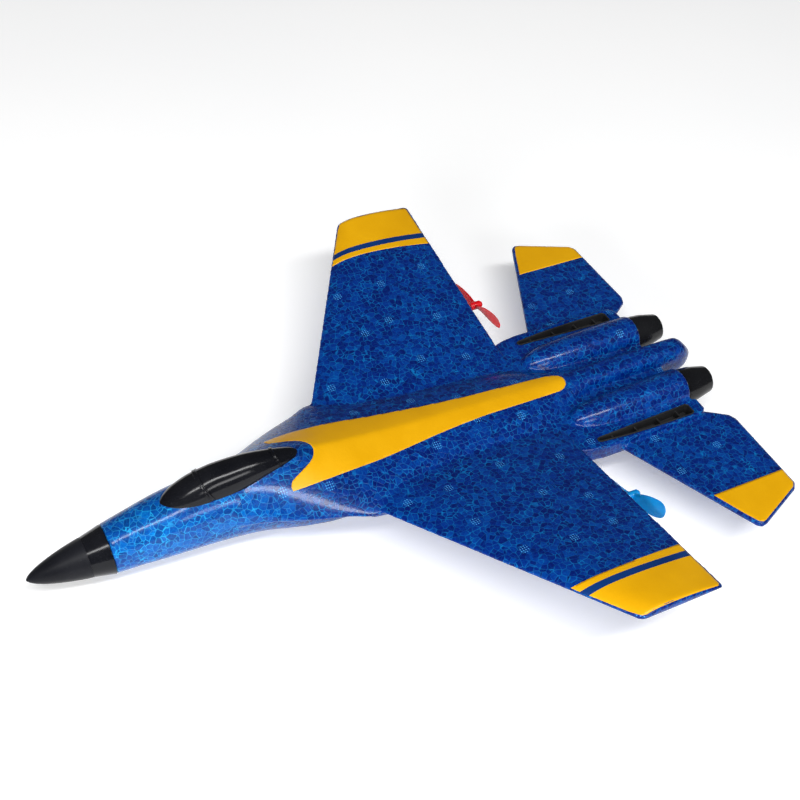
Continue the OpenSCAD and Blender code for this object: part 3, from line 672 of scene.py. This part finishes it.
hollows = {
    "ground": box_mesh(-220, 220, -200, 200, -20, 0),
    "cover_recess": box_mesh(-22, 38, -11.5, 11.5, -1, 1.7),
    "bay": box_mesh(-20.05, 36.05, -10.05, 10.05, -1.5, 14.05),
}
side_hollows = {
    "fin_slot": prism(slot_outline(0.05), 20.5, 40), "slot_recess": prism(slot_outline(1.0), 26.8, 41),
    "mount_pocket": box_mesh(-82, -60, 69, 79, 20, 33), "lead_groove": sweep(LEADS, 1.5, 16),
}
for name, mesh in hollows.items():
    cut(foam, add_object(name, *mesh, smooth=False))
for name, mesh in side_hollows.items():
    cut(foam, add_object(name, *mesh, smooth=False))
    cut(foam, add_object(name, *flip_y(mesh), smooth=False))
sharpen(foam, 50)
piece(foam, "airframe", "blue_foam", foam_material(), "foam_airframe")
bm = bmesh.new()
bm.from_mesh(foam.data)
skin = BVHTree.FromBMesh(bm)
bm.free()


# ------------------------------------------------------------------ films
def film(name, outline, mat, node, step=1.1, lift=0.07):
    """A thin film with the given outline from above, laid on the foam skin."""
    bm = bmesh.new()
    face = bm.faces.new([bm.verts.new((x * MM, y * MM, 0)) for x, y in outline])
    bmesh.ops.triangulate(bm, faces=[face])
    xs = [p[0] for p in outline]
    ys = [p[1] for p in outline]
    for way, lo, hi in ((0, min(xs), max(xs)), (1, min(ys), max(ys))):
        v = lo + step
        while v < hi:
            co, no = [0, 0, 0], [0, 0, 0]
            co[way], no[way] = v * MM, 1
            bmesh.ops.bisect_plane(bm, geom=bm.verts[:] + bm.edges[:] + bm.faces[:], plane_co=co, plane_no=no)
            v += step
    bmesh.ops.remove_doubles(bm, verts=bm.verts, dist=0.00001)
    for v in bm.verts:
        hit, no, _, _ = skin.ray_cast(Vector((v.co.x, v.co.y, 0.08)), Vector((0, 0, -1)))
        if hit is None:
            hit, no, _, _ = skin.find_nearest(Vector((v.co.x, v.co.y, 0.04)))
        v.co = hit + no * lift * MM
    bmesh.ops.recalc_face_normals(bm, faces=bm.faces)
    if sum(f.normal.z * f.calc_area() for f in bm.faces) < 0:
        bmesh.ops.reverse_faces(bm, faces=bm.faces)
    me = bpy.data.meshes.new(name)
    bm.to_mesh(me)
    bm.free()
    me.shade_smooth()
    ob = bpy.data.objects.new(name, me)
    scene.collection.objects.link(ob)
    so = ob.modifiers.new("thickness", "SOLIDIFY")
    so.thickness = 0.0001
    so.offset = -1.0
    return piece(ob, "airframe", "yellow_film", mat, node)


def curve_through(points, per=6):
    """A smooth line through the points, for the rounded parts of an outline."""
    p = [Vector(q) for q in points]
    out = []
    for i in range(len(p) - 1):
        a, b, c, d = p[max(i - 1, 0)], p[i], p[i + 1], p[min(i + 2, len(p) - 1)]
        for k in range(per):
            t = k / per
            bend = (2 * a - 5 * b + 4 * c - d) * t * t + (3 * b - a - 3 * c + d) * t**3
            out.append(tuple(0.5 * ((2 * b) + (c - a) * t + bend)))
    out.append(tuple(p[-1]))
    return out


yellow = film_material("yellow_film", None)
yellow_striped = film_material("yellow_film_striped", (0.1203, 0.1238))
spine_side = [
    (-97.8, 1.2), (-96.6, 3.6), (-93.6, 5.4), (-88, 6.1), (-74, 6.6), (-61, 7), (-49, 7.4), (-35, 8.4),
    (-21, 9.8), (-7, 11.6), (8, 13.6), (22, 15.2), (35, 16.2), (48, 16.8), (58.4, 16.6),
]
spine_notch = [
    (58.6, 15.0), (57.2, 12.8), (53.6, 11.0), (50, 9.4), (46, 7.2), (43.2, 4.6), (41.9, 1.8), (41.7, 0),
]
spine_half = curve_through(spine_side, 4) + curve_through(spine_notch, 5)
spine_line = spine_half + [(x, -y) for x, y in reversed(spine_half[:-1])]
film("spine_film", spine_line, yellow, "spine_decal")
FILM_Y = 116.3
wing_line = [
    (leading_edge(FILM_Y) - 0.9, 116.6), (leading_edge(139) - 0.9, 139), (-41.0, 142.2), (-42.2, 143.5),
    (-43.8, 144.0), (-81.8, 144.0), (-83.0, 142.8), (trailing_edge(FILM_Y) + 0.8, 115.6), (-65, 116.5),
    (-45, 117.0), (-32, 116.9),
]
tail_line = [
    (-127.6, 88.8), (-134.6, 104.6), (-137.6, 110.6), (-139.4, 111.8), (-141.8, 111.2), (-167.4, 99.9),
    (-169.2, 97.6), (-169.7, 88.8),
]
for tag, s in SIDES:
    film(tag + "_wing_film", [(x, s * y) for x, y in wing_line], yellow_striped, tag + "_wing_decal")
    film(tag + "_tail_film", [(x, s * y) for x, y in tail_line], yellow, tag + "_tail_decal")

# ------------------------------------------------------------------ black mouldings
gloss = plastic("gloss_black", (0.003, 0.0034, 0.0055), 0.15, 1500, 0.002, 0.2)
set_specular(gloss, 0.24)
satin = plastic("nozzle_black", (0.004, 0.0043, 0.0055), 0.18, 900, 0.010, 0.2)
set_specular(satin, 0.22)
rubber = plastic("nose_rubber", (0.006, 0.0065, 0.0095), 0.42, 700, 0.05, 0.25)
set_specular(rubber, 0.16)
matt = plastic("matt_black", (0.012, 0.012, 0.013), 0.5, 1200, 0.03, 0.25)

shell = add_object("canopy_shell", *loft(CANOPY, 0.8, 96))
recalc(shell)
piece(shell, "airframe", "black_gloss", gloss, "canopy")
canopy_fine = flow(CANOPY, 0.25)


# Section of a canopy bow, two ridges with a groove between: place across its width, share of its height
BOW_SECTION = [
    (-0.5, -0.3), (-0.5, 0.6), (-0.38, 1.0), (-0.2, 0.92), (0, 0.55), (0.2, 0.92), (0.38, 1.0), (0.5, 0.6),
    (0.5, -0.3),
]
BOW_HEIGHT = 0.6
BOW_LEAN = math.radians(29.0)


def canopy_at(x, a, g):
    s = canopy_fine[int(np.argmin(abs(canopy_fine[:, 0] - x)))]
    return section_point(tuple(s), a, g)


def bow(name, x, z, ends, wide):
    """A frame bow over the canopy, through x at height z and leaning back, that fades out at its ends."""
    rings = []
    start, stop = (math.radians(e) for e in ends)
    for a in np.linspace(start, stop, 49):
        ring = []
        fade = min(1.0, 0.25 + 4 * min(a - start, stop - a))
        for dx, g in BOW_SECTION:
            xx = x
            for _ in range(6):
                p = canopy_at(xx + dx * wide, a, g * BOW_HEIGHT * fade)
                xx = x + (p[2] - z) * math.tan(BOW_LEAN)
            ring.append((xx + dx * wide, p[1], p[2]))
        rings.append(ring)
    ob = add_object(name, *tube(rings))
    recalc(ob)
    return piece(ob, "airframe", "black_gloss", gloss)


bow("canopy_bow_front", 95.5, 42, (2, 178), 2.2)
bow("canopy_bow_rear", 60.5, 45, (4, 176), 1.4)

nose_frame = Matrix.Translation(Vector(NOSE_JOINT)) @ Matrix.Rotation(NOSE_TILT, 4, "Y")


def on_nose(name, profile, mat, slot_, *stands_for):
    """A turned piece on the tilted nose axis."""
    v, f = lathe(profile)
    ob = add_object(name, [tuple(nose_frame @ Vector(p)) for p in v], f)
    recalc(ob)
    sharpen(ob, 60)
    return piece(ob, "airframe", slot_, mat, *stands_for)


ring_line = rounded([(0.05, 5.6), (0.05, 11.75, 1), (9.97, 9.40), (9.97, 5.6)], 0.4)
on_nose("nose_ring", ring_line, gloss, "black_gloss", "nose_band")
tip_start, tip_len, tip_steps = 10.1, 26.97, 60
tip = [(10.02, 5.6), (10.02, 9.34)]
for k in range(1, tip_steps):
    t = (k / tip_steps) ** 0.92
    tip.append((tip_start + t * tip_len, 9.39 * (1 - t**1.15) ** 0.6))
tip.append((tip_start + tip_len - 0.02, 0.4))
on_nose("nose_tip", tip, rubber, "black_rubber", "nose_cap")

exhaust_line = rounded([
    (-154.9, 5.0), (-154.9, 9.5, 1), (-163.0, 9.0), (-172.4, 7.0, 1), (-172.4, 6.2, 1), (-160.0, 7.6, 1),
    (-158.2, 6.4, 1), (-158.6, 3.4, 1), (-161.5, 2.2, 1), (-163.4, 0.3),
], 0.5)
for tag, s in SIDES:
    ob = add_object(tag + "_exhaust", *shifted(lathe(exhaust_line), 0, s * NACELLE_Y, NACELLE_Z))
    recalc(ob)
    sharpen(ob, 55)
    piece(ob, "airframe", "black_gloss", satin, tag + "_nozzle")


# ------------------------------------------------------------------ propellers
def blade_ring(r, chord, pitch, thick, sweep_, n=28):
    """A cambered blade section at radius r; sweep_ moves it along its chord."""
    ring = []
    p = math.radians(pitch)
    for i in range(n):
        a = FULL_TURN * i / n
        u = chord / 2 * math.cos(a) + sweep_
        w = thick / 2 * math.sin(a) * (1 - 0.35 * math.cos(a)) + 0.05 * chord * (1 - math.cos(a) ** 2)
        ring.append((u * math.sin(p) - w * math.cos(p), r, u * math.cos(p) + w * math.sin(p)))
    return ring


# Blade sections: radius, chord, pitch in degrees, thickness, sweep
BLADE = [
    (0.9, 3.2, 47, 1.7, 0), (2.4, 3.5, 42, 1.6, 0), (3.6, 4.0, 37, 1.4, 0.1), (5.2, 5.0, 31, 1.2, 0.2),
    (7.5, 6.3, 26, 1.1, 0.3), (10, 7.4, 21, 1.0, 0.4), (13, 8.3, 17, 0.95, 0.4), (16, 8.7, 15, 0.9, 0.3),
    (19, 8.6, 13, 0.85, 0.15), (21.5, 8.0, 12, 0.8, 0), (23.3, 6.7, 11, 0.7, -0.15),
    (24.4, 5.0, 10.5, 0.6, -0.25), (24.95, 2.8, 10, 0.45, -0.3),
]
HUB = rounded([
    (3.0, 0.55), (3.0, 1.9, 1), (2.2, 2.15), (-3.0, 2.15, 1), (-3.3, 1.7), (-3.95, 1.35, 1), (-3.95, 0.4),
], 0.25)


def propeller(tag, s, angle, mat, slot_):
    """Two blades and a hub at rest angle in degrees; the port one is the mirror image of the other."""
    one_blade = tube([blade_ring(*b) for b in BLADE])
    other = ([(x, -y, -z) for x, y, z in one_blade[0]], one_blade[1])
    v, f = merged([one_blade, other])
    if s > 0:
        v = [(x, y, -z) for x, y, z in v]
        f = [tuple(reversed(q)) for q in f]
    turn = Matrix.Rotation(math.radians(angle), 4, "X")
    v = [tuple(turn @ Vector(p)) for p in v]
    whole = merged([(v, f), lathe(HUB, 48)])
    ob = add_object(tag + "_prop", *shifted(whole, PROP_X, s * PROP_Y, PROP_Z))
    recalc(ob)
    sharpen(ob, 55)
    return piece(ob, tag + "_rotor", slot_, mat, tag + "_propeller")


def prop_material(name, colour, light):
    """Thin coloured plastic that lets a little light through."""
    m = plastic(name, colour, 0.34, 500, 0.02, 0.10, 0.15)
    set_specular(m, 0.3)
    b = m.node_tree.nodes["Principled BSDF"]
    b.inputs["Subsurface Weight"].default_value = 0.2
    b.inputs["Subsurface Radius"].default_value = light
    b.inputs["Subsurface Scale"].default_value = 0.0015
    return m


blue_plastic = prop_material("prop_blue", (0.0, 0.27, 0.68), (0.1, 0.5, 1.0))
red_plastic = prop_material("prop_red", (0.74, 0.003, 0.010), (1.0, 0.1, 0.08))
propeller("port", 1, 27.0, blue_plastic, "prop_blue")
propeller("starboard", -1, 15.0, red_plastic, "prop_red")


# ------------------------------------------------------------------ carried-over parts
def board_material():
    """Green solder mask over raised copper tracks."""
    m, nt, b = shader("board")
    pos = nd(nt, "TexCoord").outputs["Object"]
    layout = {"Scale": 1.0, "Mortar Size": 0.16, "Brick Width": 2.6, "Row Height": 0.9}
    tracks = nd(nt, "TexBrick", {"Vector": vec(nt, "SCALE", pos, 900.0), **layout}).outputs["Fac"]
    base = mix(nt, calc(nt, "MULTIPLY", tracks, 0.8), (0.005, 0.10, 0.035), (0.012, 0.22, 0.075))
    uneven = calc(nt, "MULTIPLY", noise(nt, pos, 300), 0.25)
    nt.links.new(mix(nt, uneven, base, (0.0, 0.05, 0.02)), b.inputs["Base Color"])
    bump(nt, b, tracks, 0.3, 0.00003)
    b.inputs["Roughness"].default_value = 0.3
    return m


def pouch_material():
    """The creased aluminium pouch of the lithium cell."""
    m, nt, b = shader("cell_pouch")
    pos = nd(nt, "TexCoord").outputs["Object"]
    creases = noise(nt, pos, 180, 5.0, roughness=0.7)
    foil = ramp(nt, creases, [(0.3, (0.42, 0.43, 0.45)), (0.7, (0.66, 0.67, 0.69))])
    nt.links.new(foil, b.inputs["Base Color"])
    bump(nt, b, creases, 0.5, 0.0002)
    b.inputs["Metallic"].default_value = 0.7
    b.inputs["Roughness"].default_value = 0.36
    return m


steel = metal("steel", (0.62, 0.62, 0.64), 0.3)
nylon = plastic("white_nylon", (0.74, 0.73, 0.69), 0.4, 1100, 0.01, 0.05)
red_wire = plastic("red_wire", (0.5, 0.015, 0.012), 0.4, 900, 0.01)
looks = {
    "electronics_tray": matt, "belly_cover": matt,
    "cover_screws": metal("screw_steel", (0.55, 0.55, 0.57), 0.34, (900, 900, 60)),
    "receiver_board": board_material(),
    "board_components": plastic("chip_black", (0.02, 0.02, 0.022), 0.42, 1600, 0.01),
    "antenna_wire": plastic("black_wire", (0.015, 0.015, 0.016), 0.45, 900, 0.01),
    "battery": pouch_material(), "battery_leads": red_wire,
    "battery_pad": plastic("foam_tape", (0.72, 0.72, 0.68), 0.8, 1400, 0.12, 0.08),
    "power_switch_body": steel, "power_switch_knob": matt, "charge_socket": nylon,
    "status_led": plastic("led_red", (0.6, 0.02, 0.015), 0.12, 900, 0.004, 0.1, 0.6),
}
looks_per_side = {
    "fin_socket": matt, "motor_mount": matt, "motor_can": steel, "motor_shaft": steel,
    "motor_magnet": metal("magnet", (0.16, 0.16, 0.18), 0.45),
    "motor_bushes": metal("bronze", (0.55, 0.33, 0.16), 0.4), "motor_end_cap": nylon,
    "motor_terminals": metal("terminal_brass", (0.72, 0.52, 0.22), 0.35),
    "motor_coil": metal("copper_wire", (0.70, 0.28, 0.12), 0.38, (900, 60, 60)), "motor_leads": red_wire,
}
# Parts with moulded edges: how far the edges are eased, and their slot
EASED = {
    "electronics_tray": (0.15, "black_matt"), "belly_cover": (0.15, "black_matt"),
    "battery": (0.9, "cell_pouch"), "board_components": (0.1, "component_dark"),
    "charge_socket": (0.12, "white_plastic"),
}
for tag, _ in SIDES:
    looks.update({tag + "_" + part: mat for part, mat in looks_per_side.items()})
    EASED[tag + "_fin_socket"] = (0.15, "black_matt")
    EASED[tag + "_motor_mount"] = (0.2, "black_matt")
    EASED[tag + "_motor_end_cap"] = (0.12, "white_plastic")


def eased_copy(name, width, slot_, mat):
    """A moulding that stands for the CAD part of that name, with its sharp edges rounded by width."""
    source = nodes_of_cad[name]
    bm = bmesh.new()
    bm.from_mesh(source.data)
    bmesh.ops.remove_doubles(bm, verts=bm.verts, dist=1e-6)
    bmesh.ops.dissolve_limit(bm, angle_limit=0.02, verts=bm.verts, edges=bm.edges)
    me = bpy.data.meshes.new(name + "_moulding")
    bm.to_mesh(me)
    bm.free()
    ob = bpy.data.objects.new(name + "_moulding", me)
    scene.collection.objects.link(ob)
    me.shade_smooth()
    be = ob.modifiers.new("edges", "BEVEL")
    be.width = width * MM
    be.segments = 2
    be.limit_method = "ANGLE"
    be.angle_limit = math.radians(40)
    even = ob.modifiers.new("even_normals", "WEIGHTED_NORMAL")
    even.weight = 100
    apply_modifiers(ob)
    piece(ob, "airframe", slot_, mat, name)


for name, mat in looks.items():
    if name in EASED:
        eased_copy(name, *EASED[name], mat)
        continue
    ob = nodes_of_cad[name]
    ob.data.materials.clear()
    ob.data.materials.append(mat)

# ------------------------------------------------------------------ floor and light
FLOOR_REACH, FLOOR_Z = 4000, -0.02
corners = [(-1, -1), (1, -1), (1, 1), (-1, 1)]
floor = add_object("floor", [(FLOOR_REACH * x, FLOOR_REACH * y, FLOOR_Z) for x, y in corners], [(0, 1, 2, 3)])
m, nt, b = shader("floor_paper")
pos = nd(nt, "TexCoord").outputs["Object"]
soft = noise(nt, pos, 3, 4.0)
nt.links.new(ramp(nt, soft, [(0.3, (0.86, 0.865, 0.87)), (0.7, (0.90, 0.90, 0.90))]), b.inputs["Base Color"])
b.inputs["Roughness"].default_value = 0.85
b.inputs["Emission Color"].default_value = (1, 1, 1, 1)
b.inputs["Emission Strength"].default_value = 0.3
floor.data.materials.append(m)

# a pale backdrop round the whole floor; it is only seen, and lights nothing
BACKDROP_REACH = 3800.0
backdrop_rings = []
for lift in np.linspace(-0.02, 1.5, 13):
    across, high = BACKDROP_REACH * math.cos(lift), BACKDROP_REACH * math.sin(lift)
    turns = np.linspace(0, FULL_TURN, 48, endpoint=False)
    backdrop_rings.append([(across * math.cos(a), across * math.sin(a), high) for a in turns])
backdrop = add_object("backdrop", *tube(backdrop_rings))
m, nt, b = shader("backdrop_paper")
b.inputs["Base Color"].default_value = (0, 0, 0, 1)
b.inputs["Specular IOR Level"].default_value = 0.0
b.inputs["Emission Color"].default_value = (0.84, 0.845, 0.85, 1)
b.inputs["Emission Strength"].default_value = 1.0
backdrop.data.materials.append(m)
backdrop.visible_diffuse = False
backdrop.visible_glossy = False
backdrop.visible_transmission = False
backdrop.visible_shadow = False

world = bpy.data.worlds.new("studio")
world.use_nodes = True
world.node_tree.nodes["Background"].inputs[0].default_value = (1.0, 1.0, 1.0, 1)
world.node_tree.nodes["Background"].inputs[1].default_value = 0.10
scene.world = world


def area_light(name, at, target, size, power, size_y=None):
    data = bpy.data.lights.new(name, "AREA")
    data.energy = power
    data.size = size
    if size_y:
        data.shape = "RECTANGLE"
        data.size_y = size_y
    ob = bpy.data.objects.new(name, data)
    scene.collection.objects.link(ob)
    ob.location = at
    ob.rotation_euler = (Vector(target) - Vector(at)).to_track_quat("-Z", "Y").to_euler()
    return ob


area_light("side_panel", (-0.06, 0.95, 0.56), (0.09, 0.0, 0.03), 0.5, 2.6, 0.2)
area_light("top_strip", (0.10, 0.75, 1.45), (0.0, 0, 0), 1.8, 24, 0.22)
key = area_light("front_key", (0.95, 0.72, 0.42), (0.08, 0, 0.02), 0.6, 11.0, 0.4)
key.visible_glossy = False
